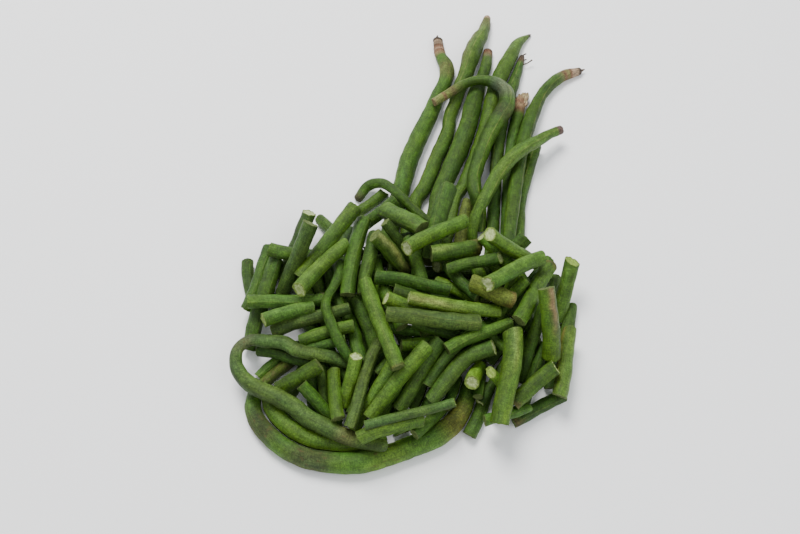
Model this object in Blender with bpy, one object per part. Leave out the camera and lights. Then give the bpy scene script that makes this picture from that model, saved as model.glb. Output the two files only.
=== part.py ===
"""A heaped bunch of green yardlong beans, in metres, +Z up, lying on z = 0.

Long uncut beans lie behind a mound of cut lengths and curl round its front. The beans start one above
another, sink until they rest on each other, and cut lengths that touch are joined in small groups.
"""

import math

import bmesh
import bpy
import numpy as np

MM = 0.001

# The beans are laid out as seen from the front and above. Picture points are (x, y, width).
VIEW_RISE = math.radians(61)
VIEW_FOCAL = 950.0
VIEW_REACH = 530.0
VIEW_CENTRE = (400.0, 267.0)
AIM_HEIGHT = 22.0
PLAN_CENTRE = (12.9, 46.2)

GAP = 0.45
JOIN_DEPTH = 1.1
MOST_JOINED = {"inner_cuts": 6, "cuts": 5}
SIDEWAYS = 0.45
MOST_DRAWN = 1.6
SUPPLE = 0.35
TIPPING = 0.06
PLACES = 3
NEAR = 14.0
END_INSET = 0.35
BEND_RADIUS = 90.0
RING_STEP = 10.0
SAMPLE_STEP = 3.0
FACETS = 8
FACET_DROP = math.cos(math.pi / FACETS)

# The beans settle in rounds of this many turns, each with its fall and its pull to place per turn.
FALL_ROUNDS = ((240, 0.4, 0.07), (160, 0.12, 0.08))
JOIN_ROUNDS = ((80, 0.03, 0.03), (60, 0.0, 0.0))
SWEEPS = 5
MOUND_HEIGHT = 34.0
MOUND_MIDDLE = (412.0, 325.0)
MOUND_HALF = (185.0, 150.0)

UNDER_MIDDLE = (7.0, -27.0)
UNDER_PASSES = ((23, 76.0, 48.0), (6, 40.0, 28.0))
UNDER_LENGTH = 46.0
UNDER_RADIUS = 4.4
GOLDEN_TURN = math.pi * (3 - math.sqrt(5))

TONES = {
    "dark": (0.045, 0.085, 0.018),
    "mid": (0.070, 0.125, 0.026),
    "bright": (0.115, 0.195, 0.045),
    "grey": (0.080, 0.110, 0.042),
    "brown": (0.105, 0.105, 0.038),
}

BACK_BEANS = [
    ("buried_long_bean", "dark", [(527, 150, 12), (520, 200, 12), (516, 250, 12), (510, 300, 12)]),
    ("withered_long_bean", "dark", [
        (519, 100, 9), (517, 115, 12), (512, 135, 11), (509, 155, 11), (507, 175, 11), (505, 230, 12),
        (500, 290, 12)]),
    ("thin_long_bean", "dark", [
        (520, 58, 7), (516, 72, 10), (509, 90, 13), (503, 112, 13), (500, 134, 13), (498, 167, 13),
        (497, 195, 13), (496, 225, 13), (490, 290, 13)]),
    ("bent_long_bean", "mid", [
        (580, 71, 8), (573, 72, 10), (559, 77, 12), (542, 93, 12), (534, 109, 14), (527, 129, 15),
        (522, 151, 14), (516, 184, 14), (511, 217, 14), (508, 242, 13), (500, 300, 13)]),
    ("pointed_long_bean", "mid", [
        (531, 34, 3), (525, 36, 6), (518, 45, 11), (511, 58, 14), (503, 74, 16), (497, 90, 16),
        (492, 108, 15), (486, 130, 15), (478, 152, 14), (470, 176, 14), (462, 200, 13), (450, 260, 13)]),
    ("tall_long_bean", "dark", [
        (487, 19, 8), (482, 36, 14), (473, 55, 19), (465, 76, 16), (458, 95, 14), (450, 120, 14),
        (444, 140, 15), (436, 160, 15), (425, 185, 15), (414, 208, 14), (400, 260, 14)]),
    ("left_long_bean", "mid", [
        (438, 41, 9), (439, 47, 12), (440, 54, 11), (443, 61, 13), (447, 70, 15), (446, 79, 14),
        (440, 92, 14), (430, 115, 16), (418, 140, 18), (408, 165, 19), (402, 190, 18), (396, 215, 18),
        (386, 262, 17)]),
    ("middle_long_bean", "mid", [
        (484, 52, 9), (484, 65, 11), (480, 80, 12), (474, 100, 17), (468, 125, 18), (460, 148, 19),
        (450, 172, 18), (441, 196, 17), (436, 215, 17), (424, 265, 16)]),
    ("hooked_long_bean", "dark", [
        (436, 101, 8), (450, 93, 9), (462, 86, 9), (475, 82, 9), (488, 83, 11), (499, 88, 13),
        (504, 97, 15), (502, 111, 18), (495, 124, 17), (485, 145, 16), (477, 168, 15), (473, 190, 14),
        (475, 207, 13), (476, 222, 13)]),
    ("crossing_long_bean", "mid", [
        (562, 129, 9), (550, 134, 10), (535, 143, 12), (518, 153, 14), (504, 167, 14), (489, 189, 13),
        (480, 205, 12), (474, 222, 11), (470, 238, 10)]),
]

FRONT_BEANS = [
    ("outer_front_bean", "mid", [
        (259, 391, 13), (254, 408, 16), (262, 425, 18), (278, 440, 19), (302, 452, 20), (332, 457, 21),
        (362, 456, 22), (392, 450, 21), (420, 441, 21), (445, 429, 21), (460, 412, 19), (467, 396, 17),
        (470, 386, 15)]),
    ("inner_front_bean", "mid", [
        (269, 398, 15), (276, 415, 18), (293, 433, 19), (320, 446, 19), (352, 450, 17), (377, 450, 14)]),
]

# Cut lengths: tone, first end, second end, width and, for some, how far the first end lies above the second.
LOW_CUTS = [
    ("dark", (249, 264), (259, 306), 13),
    ("dark", (270, 252), (249, 306), 14),
    ("mid", (278, 265), (252, 342), 17),
    ("dark", (307, 218), (286, 273), 14, 9),
    ("dark", (300, 268), (322, 322), 14),
    ("dark", (326, 262), (336, 312), 14),
    ("mid", (320, 219), (362, 262), 13),
    ("dark", (351, 232), (356, 290), 13),
    ("dark", (373, 238), (362, 292), 14),
    ("mid", (391, 203), (352, 237), 13),
    ("grey", (385, 224), (412, 266), 12),
    ("brown", (467, 202), (443, 246), 13),
    ("mid", (445, 195), (430, 252), 18),
    ("mid", (480, 243), (520, 284), 14, 6),
    ("mid", (475, 257), (480, 305), 15),
    ("mid", (486, 253), (528, 295), 13),
    ("dark", (545, 261), (507, 312), 13),
    ("mid", (526, 285), (501, 318), 13),
    ("dark", (447, 270), (482, 298), 13),
    ("bright", (438, 281), (485, 304), 12),
    ("dark", (412, 327), (456, 337), 12),
    ("dark", (380, 327), (424, 332), 11),
    ("dark", (463, 306), (500, 347), 12),
    ("dark", (561, 307), (562, 350), 14),
    ("dark", (551, 332), (552, 388), 14),
    ("dark", (519, 304), (541, 350), 13),
    ("dark", (540, 352), (532, 404), 13),
    ("dark", (554, 388), (510, 415), 14),
    ("dark", (499, 391), (463, 428), 14),
    ("mid", (526, 406), (484, 420), 13),
    ("dark", (476, 398), (510, 346), 10),
    ("bright", (490, 372), (511, 402), 12, 14),
    ("dark", (457, 347), (433, 386), 14),
    ("mid", (402, 345), (434, 342), 15),
    ("dark", (314, 366), (318, 412), 15),
    ("dark", (320, 370), (297, 396), 14),
    ("mid", (304, 349), (262, 374), 12),
    ("brown", (310, 356), (270, 381), 13),
    ("dark", (262, 350), (312, 362), 13),
    ("dark", (302, 386), (332, 424), 14),
    ("mid", (302, 338), (352, 327), 14, -4),
    ("dark", (300, 356), (345, 343), 11),
    ("grey", (277, 332), (346, 302), 14),
    ("mid", (266, 319), (312, 312), 14, 3),
    ("bright", (391, 369), (354, 430), 14),
    ("dark", (412, 437), (453, 404), 12),
    ("dark", (431, 370), (419, 412), 12),
    ("dark", (455, 376), (444, 412), 11),
    ("dark", (322, 368), (325, 410), 11),
    ("dark", (362, 372), (353, 412), 11),
    ("dark", (391, 382), (377, 420), 12),
    ("dark", (485, 362), (481, 404), 11),
    ("dark", (397, 250), (389, 288), 11),
    ("dark", (421, 236), (415, 272), 11),
    ("dark", (515, 274), (503, 302), 11),
    ("mid", (318, 360), (284, 390), 16),
    ("bright", (391, 291), (430, 317), 14, 5),
]

HAIRPIN = [
    ("hairpin_bean", "grey", [
        (345, 361, 12), (330, 357, 13), (300, 348, 14), (280, 340, 14), (262, 340, 13), (249, 344, 11),
        (241, 356, 12), (246, 374, 14), (262, 388, 16), (285, 402, 17), (310, 418, 17), (335, 431, 16),
        (355, 439, 15), (378, 445, 12)]),
]

MIDDLE_CUTS = [
    ("mid", (271, 256), (318, 261), 13, 3),
    ("mid", (352, 212), (300, 270), 15, 6),
    ("grey", (312, 227), (284, 292), 15),
    ("mid", (384, 193), (346, 220), 11),
    ("mid", (388, 212), (424, 233), 19, -7),
    ("dark", (498, 254), (453, 268), 12, 4),
    ("mid", (409, 242), (424, 290), 13),
    ("dark", (378, 279), (448, 289), 14),
    ("grey", (389, 314), (475, 323), 18),
    ("dark", (351, 300), (369, 352), 15, 8),
    ("grey", (375, 343), (347, 426), 13),
    ("mid", (331, 368), (336, 420), 14),
    ("bright", (357, 359), (347, 402), 14, 13),
    ("mid", (437, 344), (402, 406), 16),
    ("mid", (509, 324), (446, 348), 14),
    ("brown", (477, 287), (512, 300), 18, 2),
    ("mid", (489, 239), (532, 264), 15),
    ("bright", (569, 333), (560, 394), 17),
    ("mid", (569, 268), (549, 313), 15, 16),
    ("dark", (536, 305), (525, 375), 13),
    ("mid", (552, 369), (515, 399), 16, 5),
    ("mid", (419, 421), (361, 437), 17),
]

TOP_CUTS = [
    ("mid", (251, 302), (322, 301), 15),
    ("bright", (340, 243), (296, 289), 15, -7),
    ("mid", (369, 222), (351, 296), 16),
    ("mid", (431, 264), (474, 249), 14, 9),
    ("mid", (407, 248), (462, 221), 15, 5),
    ("mid", (432, 243), (476, 247), 17, 4),
    ("mid", (541, 259), (487, 284), 15, -6),
    ("mid", (549, 265), (517, 322), 15),
    ("mid", (546, 290), (550, 352), 17),
    ("mid", (512, 335), (500, 415), 20),
    ("bright", (368, 283), (400, 366), 17),
    ("bright", (409, 299), (498, 309), 14),
    ("mid", (424, 347), (368, 411), 16),
    ("grey", (454, 403), (366, 426), 10),
    ("bright", (470, 386), (485, 361), 16, 12),
]

TOP_BEANS = [
    ("curved_bean", "dark", [(490, 348, 17), (465, 357, 17), (443, 380, 17), (432, 399, 16)]),
    ("tapering_bean", "mid", [(377, 237, 15), (388, 246, 17), (402, 261, 15), (412, 275, 6)]),
    ("twisted_bean", "dark", [
        (338, 263, 13), (338, 280, 12), (330, 292, 10), (325, 303, 10), (329, 318, 11), (338, 338, 12),
        (348, 357, 11)]),
    ("hook_bean", "dark", [
        (363, 194, 9), (368, 187, 10), (378, 184, 10), (390, 188, 10), (402, 197, 10), (414, 210, 10),
        (428, 224, 9)]),
]


def on_plan(x, y, height):
    """Plan position in mm, and mm per picture unit, of a picture point at this height."""
    rise = VIEW_CENTRE[1] - y
    drop = VIEW_FOCAL * math.sin(VIEW_RISE) - rise * math.cos(VIEW_RISE)
    scale = (AIM_HEIGHT + VIEW_REACH * math.sin(VIEW_RISE) - height) / drop
    forward = VIEW_FOCAL * math.cos(VIEW_RISE) + rise * math.sin(VIEW_RISE)
    across = scale * (x - VIEW_CENTRE[0])
    return np.stack([across, scale * forward - VIEW_REACH * math.cos(VIEW_RISE)], axis=1), scale


def along(points):
    """Distance of each point from the first, along the line through them."""
    return np.concatenate([[0.0], np.cumsum(np.linalg.norm(np.diff(points, axis=0), axis=1))])


def eased(rows, count):
    """This many points evenly spaced along a smooth line through the rows."""
    rows = np.array(rows, float)
    at = along(rows[:, :2])
    slope = np.gradient(rows, at, axis=0)
    where = np.linspace(0, at[-1], count)
    part = np.clip(np.searchsorted(at, where, side="right") - 1, 0, len(at) - 2)
    span = (at[part + 1] - at[part])[:, None]
    t = (where - at[part])[:, None] / span
    start, end = rows[part], rows[part + 1]
    return (
        (2 * t**3 - 3 * t**2 + 1) * start
        + (t**3 - 2 * t**2 + t) * span * slope[part]
        + (3 * t**2 - 2 * t**3) * end
        + (t**3 - t**2) * span * slope[part + 1]
    )


class Bean:
    """One bean: its rows in the picture, or none, and the points and radii of its middle line in mm."""

    def __init__(self, name, tone, rows, points, radii):
        self.tip = 0
        self.name = name
        self.tone = tone
        self.rows = rows
        self.points = points
        self.radii = radii


def mound_height(rows):
    """The height at which a bean in the mound is thought to lie while it is put in place."""
    out = (rows[:, 0] - MOUND_MIDDLE[0]) ** 2 / MOUND_HALF[0] ** 2
    out = out + (rows[:, 1] - MOUND_MIDDLE[1]) ** 2 / MOUND_HALF[1] ** 2
    return 4.0 + MOUND_HEIGHT * np.maximum(1 - out, 0)


def from_picture(name, tone, rows, low):
    """A bean on the plan. A low one is thought to lie on the floor, and a cut length level."""
    height = mound_height(rows) * (0 if low else 1)
    if len(rows) == 2:
        height = np.full(2, height.mean())
    plan, scale = on_plan(rows[:, 0], rows[:, 1], height)
    points = np.column_stack([plan, np.zeros(len(plan))])
    return Bean(name, tone, rows, points, rows[:, 2] * scale / 2)


def long_ones(beans, low):
    for name, tone, rows in beans:
        length = along(np.array(rows, float)[:, :2])[-1] * VIEW_REACH / VIEW_FOCAL
        yield from_picture(name, tone, eased(rows, int(length / RING_STEP) + 4), low)


def cut_ones(cuts):
    for tone, start, end, width, *tip in cuts:
        bean = from_picture("cuts", tone, np.array([(*start, width), (*end, width)], float), False)
        bean.tip = sum(tip)
        yield bean


def inner_ones():
    """The cut lengths inside the mound: two rounds on the floor, the second one narrower."""
    for count, wide, deep in UNDER_PASSES:
        for k in reversed(range(count)):
            out = math.sqrt((k + 0.5) / count)
            turn = k * GOLDEN_TURN
            middle = np.array([
                UNDER_MIDDLE[0] + wide * out * math.cos(turn),
                UNDER_MIDDLE[1] + deep * out * math.sin(turn),
                0,
            ])
            facing = 2.0 * k
            half = np.array([math.cos(facing), math.sin(facing), 0]) * UNDER_LENGTH / 2
            radii = np.full(2, UNDER_RADIUS - 0.25 * (k % 3))
            yield Bean("inner_cuts", "dark", None, np.stack([middle - half, middle + half]), radii)


def all_beans():
    """Every bean on the plan, the lowest first."""
    return [
        *long_ones(BACK_BEANS, True),
        *inner_ones(),
        *long_ones(FRONT_BEANS, True),
        *cut_ones(LOW_CUTS),
        *long_ones(HAIRPIN, False),
        *cut_ones(MIDDLE_CUTS),
        *cut_ones(TOP_CUTS),
        *long_ones(TOP_BEANS, False),
    ]


def samples(bean):
    """Points and radii close together along the bean."""
    at = along(bean.points)
    where = np.linspace(0, at[-1], int(at[-1] / SAMPLE_STEP) + 2)
    line = np.stack([np.interp(where, at, bean.points[:, k]) for k in range(3)], axis=1)
    return line, np.interp(where, at, bean.radii), where


def lie_limp(lowest, where):
    """Heights of a long bean: it drapes over its supports, and bends no more sharply than it can."""
    bend = (where[:, None] - where) ** 2 / (2 * BEND_RADIUS)
    arched = (lowest - bend).max(axis=1)
    widened = (arched - bend).max(axis=1)
    return (widened + bend).min(axis=1)


def stack(beans):
    """Gives each bean its first height: clear above all that were laid before it."""
    placed = np.zeros((0, 3))
    wide = np.zeros(0)
    for bean in beans:
        line, radii, where = samples(bean)
        reach = radii[:, None] + wide + GAP
        apart = ((line[:, None, :2] - placed[:, :2]) ** 2).sum(axis=2)
        lift = np.where(apart < reach**2, placed[:, 2] + np.sqrt(np.maximum(reach**2 - apart, 0)), 0)
        lowest = np.maximum(radii * FACET_DROP, lift.max(axis=1, initial=0))
        line[:, 2] = lie_limp(lowest, where) if len(bean.points) > 2 else lowest.max()
        bean.points[:, 2] = np.interp(along(bean.points), where, line[:, 2])
        placed = np.concatenate([placed, line])
        wide = np.concatenate([wide, radii])


class Settling:
    """All beans as straight links between points, moved apart where they touch."""

    def __init__(self, beans):
        self.beans = beans
        counts = [len(bean.points) for bean in beans]
        self.first = np.cumsum([0, *counts])
        self.points = np.concatenate([bean.points for bean in beans])
        self.radii = np.concatenate([bean.radii for bean in beans])
        self.bean_of = np.repeat(np.arange(len(beans)), counts)
        self.starts = np.flatnonzero(np.diff(self.bean_of) == 0)
        self.owner = self.bean_of[self.starts]
        self.length = np.linalg.norm(self.points[self.starts + 1] - self.points[self.starts], axis=1)
        self.is_long = np.array(counts)[self.bean_of] > 2
        pictured = [np.zeros((count, 3)) if bean.rows is None else bean.rows
                    for bean, count in zip(beans, counts)]
        self.rows = np.concatenate(pictured)
        self.has_rows = np.repeat([bean.rows is not None for bean in beans], counts)
        self.home = self.points[:, :2].copy()
        self.tipped = np.array([k for k, bean in enumerate(beans) if bean.tip])
        self.tips = np.array([beans[k].tip for k in self.tipped], float)
        one, two = np.triu_indices(len(self.starts), 1)
        other = self.owner[one] != self.owner[two]
        self.all_pairs = one[other], two[other]
        self.joined = np.zeros((len(beans), len(beans)), bool)
        self.gather()

    def nearest(self, one, two):
        """Where two links come closest, as parts of each, and the way from the second to the first."""
        p, q = self.points[self.starts[one]], self.points[self.starts[two]]
        d, e = self.points[self.starts[one] + 1] - p, self.points[self.starts[two] + 1] - q
        r = p - q
        dd, ee, de = (d * d).sum(1), (e * e).sum(1), (d * e).sum(1)
        dr, er = (d * r).sum(1), (e * r).sum(1)
        s = np.clip((de * er - dr * ee) / np.maximum(dd * ee - de * de, 1e-6), 0, 1)
        t = np.clip((de * s + er) / ee, 0, 1)
        s = np.clip((de * t - dr) / dd, 0, 1)
        return s, t, p + s[:, None] * d - q - t[:, None] * e

    def gather(self):
        """Finds the links that are near each other."""
        _, _, away = self.nearest(*self.all_pairs)
        near = (away**2).sum(1) < NEAR**2
        self.pairs = self.all_pairs[0][near], self.all_pairs[1][near]

    def contacts(self):
        one, two = self.pairs
        s, t, away = self.nearest(one, two)
        apart = np.maximum(np.linalg.norm(away, axis=1), 1e-6)
        a, b = self.starts[one], self.starts[two]
        touch = self.radii[a] * (1 - s) + self.radii[a + 1] * s
        touch = touch + self.radii[b] * (1 - t) + self.radii[b + 1] * t
        return s, t, away / apart[:, None], apart - touch

    def separate(self):
        """Moves links apart to the gap, and draws joined ones together."""
        one, two = self.pairs
        s, t, normal, clear = self.contacts()
        joined = self.joined[self.owner[one], self.owner[two]]
        short = np.where(joined, -JOIN_DEPTH, GAP) - clear
        nearest_joined = np.full(self.joined.shape, np.inf)
        keys = self.owner[one], self.owner[two]
        np.minimum.at(nearest_joined, keys, clear)
        drawn = joined & (clear <= nearest_joined[keys])
        active = np.where(joined, drawn, short > 0)
        share = (1 - s) ** 2 + s**2 + (1 - t) ** 2 + t**2
        push = (short / share)[:, None] * normal
        ends = np.concatenate([self.starts[one], self.starts[one] + 1,
                               self.starts[two], self.starts[two] + 1])
        part = np.concatenate([1 - s, s, t - 1, -t])
        live = np.tile(active, 4) & (np.abs(part) > 0.02)
        ends = ends[live]
        moves = (np.tile(push, (4, 1)) * part[:, None])[live]
        count = np.maximum(np.bincount(ends, minlength=len(self.points)), 1)
        for axis in range(3):
            total = np.bincount(ends, weights=moves[:, axis], minlength=len(self.points))
            self.points[:, axis] += 1.25 * total / count
        self.keep_lengths()
        self.points[:, 2] = np.maximum(self.points[:, 2], self.radii * FACET_DROP)
        self.points = np.round(self.points, PLACES)

    def keep_lengths(self):
        a, b = self.starts, self.starts + 1
        link = self.points[b] - self.points[a]
        size = np.linalg.norm(link, axis=1)
        change = (0.5 * (self.length - size) / size)[:, None] * link
        for half in (0, 1):
            chosen = np.arange(len(a)) % 2 == half
            np.add.at(self.points, b[chosen], change[chosen])
            np.add.at(self.points, a[chosen], -change[chosen])

    def pull_home(self, pull, real_heights):
        """Draws each bean to its place, and smooths the way in which a long one leaves its place."""
        goal = np.column_stack([self.home, np.zeros(len(self.home))])
        if real_heights:
            seen = self.has_rows
            goal[seen, :2] = on_plan(self.rows[seen, 0], self.rows[seen, 1], self.points[seen, 2])[0]
        off = self.points - goal
        off[:, :2] *= 1 - np.where(self.is_long, 3 * pull, pull)[:, None]
        ends = np.diff(self.bean_of, prepend=-1) + np.diff(self.bean_of, append=-1)
        inner = np.flatnonzero(ends == 0)
        middle = (off[inner - 1] + off[inner + 1]) / 2
        off[inner] += SUPPLE * (middle - off[inner])
        self.points = goal + off
        high = self.first[self.tipped]
        change = TIPPING * (self.tips - (self.points[high, 2] - self.points[high + 1, 2]))
        self.points[high, 2] += change
        self.points[high + 1, 2] -= change

    def settle(self, rounds, real_heights):
        for turns, fall, pull in rounds:
            for turn in range(turns):
                if turn % 8 == 0:
                    self.gather()
                self.points[:, 2] -= fall
                if fall:
                    self.pull_home(pull, real_heights)
                for _ in range(SWEEPS):
                    self.separate()
        self.gather()

    def join(self):
        """Joins cut lengths that touch, the closest first, into small groups. Returns the groups."""
        groups = [[k] for k in range(len(self.beans))]
        group_of = list(range(len(self.beans)))
        _, _, normal, clear = self.contacts()
        link = (self.points[self.starts + 1] - self.points[self.starts]) / self.length[:, None]
        beside = np.ones(len(clear), bool)
        for links in self.pairs:
            beside &= np.abs((normal * link[links]).sum(1)) < SIDEWAYS
        for pair in np.argsort(np.round(clear, PLACES), kind="stable"):
            if not beside[pair]:
                continue
            one, two = (int(self.owner[links[pair]]) for links in self.pairs)
            name = self.beans[one].name
            if clear[pair] > MOST_DRAWN or name != self.beans[two].name or name not in MOST_JOINED:
                continue
            first, second = group_of[one], group_of[two]
            if first == second or len(groups[first]) + len(groups[second]) > MOST_JOINED[name]:
                continue
            self.joined[one, two] = self.joined[two, one] = True
            groups[first] += groups[second]
            for bean in groups[second]:
                group_of[bean] = first
            groups[second] = []
        return [group for group in groups if group]


def laid_groups():
    """The beans at rest, in the groups that they are joined in."""
    beans = all_beans()
    stack(beans)
    heap = Settling(beans)
    heap.settle(FALL_ROUNDS[:1], False)
    heap.settle(FALL_ROUNDS[1:], True)
    groups = heap.join()
    heap.settle(JOIN_ROUNDS, True)
    for k, bean in enumerate(beans):
        bean.points = heap.points[heap.first[k]:heap.first[k + 1]]
    return [[beans[k] for k in group] for group in groups]


def with_ends(bean):
    """The bean's middle line, drawn out to its end faces."""
    points = bean.points.copy()
    for end, inner in ((0, 1), (-1, -2)):
        out = points[end] - points[inner]
        points[end] += out / np.linalg.norm(out) * END_INSET * bean.radii[end]
    return points


def tube(bean):
    """A closed mesh along the bean, with a facet facing down."""
    curve = bpy.data.curves.new("tube", "CURVE")
    curve.dimensions = "3D"
    curve.twist_mode = "Z_UP"
    curve.bevel_depth = MM
    curve.bevel_resolution = (FACETS - 4) // 2
    curve.use_fill_caps = True
    line = (with_ends(bean) - (*PLAN_CENTRE, 0)) * MM
    spline = curve.splines.new("POLY")
    spline.points.add(len(line) - 1)
    for point, at, radius in zip(spline.points, line, bean.radii):
        point.co = (*at, 1)
        point.radius = radius
        point.tilt = math.pi / FACETS
    holder = bpy.data.objects.new("tube", curve)
    helpers.objects.link(holder)
    bpy.context.view_layer.update()
    mesh = bpy.data.meshes.new_from_object(holder.evaluated_get(bpy.context.evaluated_depsgraph_get()))
    bpy.data.objects.remove(holder)
    welded = bmesh.new()
    welded.from_mesh(mesh)
    bmesh.ops.remove_doubles(welded, verts=welded.verts, dist=0.00001)
    bmesh.ops.recalc_face_normals(welded, faces=welded.faces)
    welded.to_mesh(mesh)
    welded.free()
    return mesh


def skin(name, tone):
    material = bpy.data.materials.new(name)
    material.use_nodes = True
    shader = material.node_tree.nodes["Principled BSDF"]
    shader.inputs["Base Color"].default_value = (*TONES[tone], 1)
    shader.inputs["Roughness"].default_value = 0.5
    return material


def build_node(name, beans):
    """One object from the beans of a group, joined where they overlap."""
    body = bpy.data.objects.new(name, tube(beans[0]))
    bunch.objects.link(body)
    if len(beans) > 1:
        rest = bpy.data.collections.new("joined")
        helpers.children.link(rest)
        for bean in beans[1:]:
            rest.objects.link(bpy.data.objects.new("joined", tube(bean)))
        union = body.modifiers.new("joined", "BOOLEAN")
        union.operand_type = "COLLECTION"
        union.collection = rest
        union.operation = "UNION"
        union.solver = "EXACT"
        bpy.context.view_layer.update()
        graph = bpy.context.evaluated_depsgraph_get()
        mesh = bpy.data.meshes.new_from_object(body.evaluated_get(graph))
        body.modifiers.clear()
        body.data = mesh
        for piece in list(rest.objects):
            bpy.data.objects.remove(piece)
        bpy.data.collections.remove(rest)
    body.data.materials.clear()
    body.data.materials.append(skin(name, beans[0].tone))
    for face in body.data.polygons:
        face.use_smooth = len(face.vertices) == 4


for leftover in list(bpy.data.objects):
    bpy.data.objects.remove(leftover)
bunch = bpy.data.collections.new("green_bean_bunch")
helpers = bpy.data.collections.new("helpers")
bpy.context.scene.collection.children.link(bunch)
bpy.context.scene.collection.children.link(helpers)
helpers.hide_render = True

number = dict.fromkeys(MOST_JOINED, 0)
for group in laid_groups():
    name = group[0].name
    if name in number:
        number[name] += 1
        name = f"{name}_{number[name]:02d}"
    build_node(name, group)
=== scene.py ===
"""The look of the bunch of green yardlong beans: fine skins, cut faces and dried ends on the laid beans,
a pale floor, soft light and the camera. The scene is in metres, +Z up, and the beans are laid in mm.
"""

import math

import bpy
import numpy as np
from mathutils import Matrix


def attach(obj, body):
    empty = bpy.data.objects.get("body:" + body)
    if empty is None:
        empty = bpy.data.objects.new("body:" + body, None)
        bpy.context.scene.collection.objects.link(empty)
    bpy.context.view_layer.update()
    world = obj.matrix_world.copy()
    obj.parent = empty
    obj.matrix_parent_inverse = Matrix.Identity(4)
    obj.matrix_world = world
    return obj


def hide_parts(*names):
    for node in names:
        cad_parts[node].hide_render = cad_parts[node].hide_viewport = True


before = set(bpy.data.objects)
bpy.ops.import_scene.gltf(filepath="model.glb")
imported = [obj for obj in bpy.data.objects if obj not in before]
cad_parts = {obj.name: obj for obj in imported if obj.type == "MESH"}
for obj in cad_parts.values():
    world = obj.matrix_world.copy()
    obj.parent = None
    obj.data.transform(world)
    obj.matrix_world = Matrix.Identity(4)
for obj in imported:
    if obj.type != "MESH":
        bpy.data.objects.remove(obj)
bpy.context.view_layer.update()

MM = 0.001

# The beans are laid out as seen from the front and above. Picture points are (x, y, width).
VIEW_RISE = math.radians(61)
VIEW_FOCAL = 950.0
VIEW_REACH = 530.0
VIEW_CENTRE = (400.0, 267.0)
AIM_HEIGHT = 22.0
PLAN_CENTRE = (12.9, 46.2)

# The gap between pieces, and how joined cut lengths meet: how deep, how many, how square and how near.
GAP = 0.45
JOIN_DEPTH = 1.1
MOST_JOINED = {"inner_cuts": 6, "cuts": 5}
SIDEWAYS = 0.45
MOST_DRAWN = 1.6

# How readily a bean smooths its bends and tips to its asked slope, and the decimals that positions keep.
SUPPLE = 0.35
TIPPING = 0.06
PLACES = 3

# How far a bean's end lies out beyond its last point, as a share of its radius.
END_INSET = 0.35

# In mm: how near links are tested, a long bean's sharpest bend, and the steps along it.
NEAR = 14.0
BEND_RADIUS = 90.0
RING_STEP = 10.0
SAMPLE_STEP = 3.0

# The solids' beans have flat sides, and rest on them.
FACETS = 8
FACET_DROP = math.cos(math.pi / FACETS)

# The beans settle in rounds of this many turns, each with its fall and its pull to place per turn.
FALL_ROUNDS = ((240, 0.4, 0.07), (160, 0.12, 0.08))
JOIN_ROUNDS = ((80, 0.03, 0.03), (60, 0.0, 0.0))
SWEEPS = 5
MOUND_HEIGHT = 34.0
MOUND_MIDDLE = (412.0, 325.0)
MOUND_HALF = (185.0, 150.0)

# Cut lengths hidden in the mound: the middle and the rounds of how many, how wide and how deep.
UNDER_MIDDLE = (7.0, -27.0)
UNDER_PASSES = ((23, 76.0, 48.0), (6, 40.0, 28.0))
UNDER_LENGTH = 46.0
UNDER_RADIUS = 4.4
GOLDEN_TURN = math.pi * (3 - math.sqrt(5))

BACK_BEANS = [
    ("buried_long_bean", "dark", [(527, 150, 12), (520, 200, 12), (516, 250, 12), (510, 300, 12)]),
    ("withered_long_bean", "dark", [
        (519, 100, 9), (517, 115, 12), (512, 135, 11), (509, 155, 11), (507, 175, 11), (505, 230, 12),
        (500, 290, 12)]),
    ("thin_long_bean", "dark", [
        (520, 58, 7), (516, 72, 10), (509, 90, 13), (503, 112, 13), (500, 134, 13), (498, 167, 13),
        (497, 195, 13), (496, 225, 13), (490, 290, 13)]),
    ("bent_long_bean", "mid", [
        (580, 71, 8), (573, 72, 10), (559, 77, 12), (542, 93, 12), (534, 109, 14), (527, 129, 15),
        (522, 151, 14), (516, 184, 14), (511, 217, 14), (508, 242, 13), (500, 300, 13)]),
    ("pointed_long_bean", "mid", [
        (531, 34, 3), (525, 36, 6), (518, 45, 11), (511, 58, 14), (503, 74, 16), (497, 90, 16),
        (492, 108, 15), (486, 130, 15), (478, 152, 14), (470, 176, 14), (462, 200, 13), (450, 260, 13)]),
    ("tall_long_bean", "dark", [
        (487, 19, 8), (482, 36, 14), (473, 55, 19), (465, 76, 16), (458, 95, 14), (450, 120, 14),
        (444, 140, 15), (436, 160, 15), (425, 185, 15), (414, 208, 14), (400, 260, 14)]),
    ("left_long_bean", "mid", [
        (438, 41, 9), (439, 47, 12), (440, 54, 11), (443, 61, 13), (447, 70, 15), (446, 79, 14),
        (440, 92, 14), (430, 115, 16), (418, 140, 18), (408, 165, 19), (402, 190, 18), (396, 215, 18),
        (386, 262, 17)]),
    ("middle_long_bean", "mid", [
        (484, 52, 9), (484, 65, 11), (480, 80, 12), (474, 100, 17), (468, 125, 18), (460, 148, 19),
        (450, 172, 18), (441, 196, 17), (436, 215, 17), (424, 265, 16)]),
    ("hooked_long_bean", "dark", [
        (436, 101, 8), (450, 93, 9), (462, 86, 9), (475, 82, 9), (488, 83, 11), (499, 88, 13),
        (504, 97, 15), (502, 111, 18), (495, 124, 17), (485, 145, 16), (477, 168, 15), (473, 190, 14),
        (475, 207, 13), (476, 222, 13)]),
    ("crossing_long_bean", "mid", [
        (562, 129, 9), (550, 134, 10), (535, 143, 12), (518, 153, 14), (504, 167, 14), (489, 189, 13),
        (480, 205, 12), (474, 222, 11), (470, 238, 10)]),
]

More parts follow.
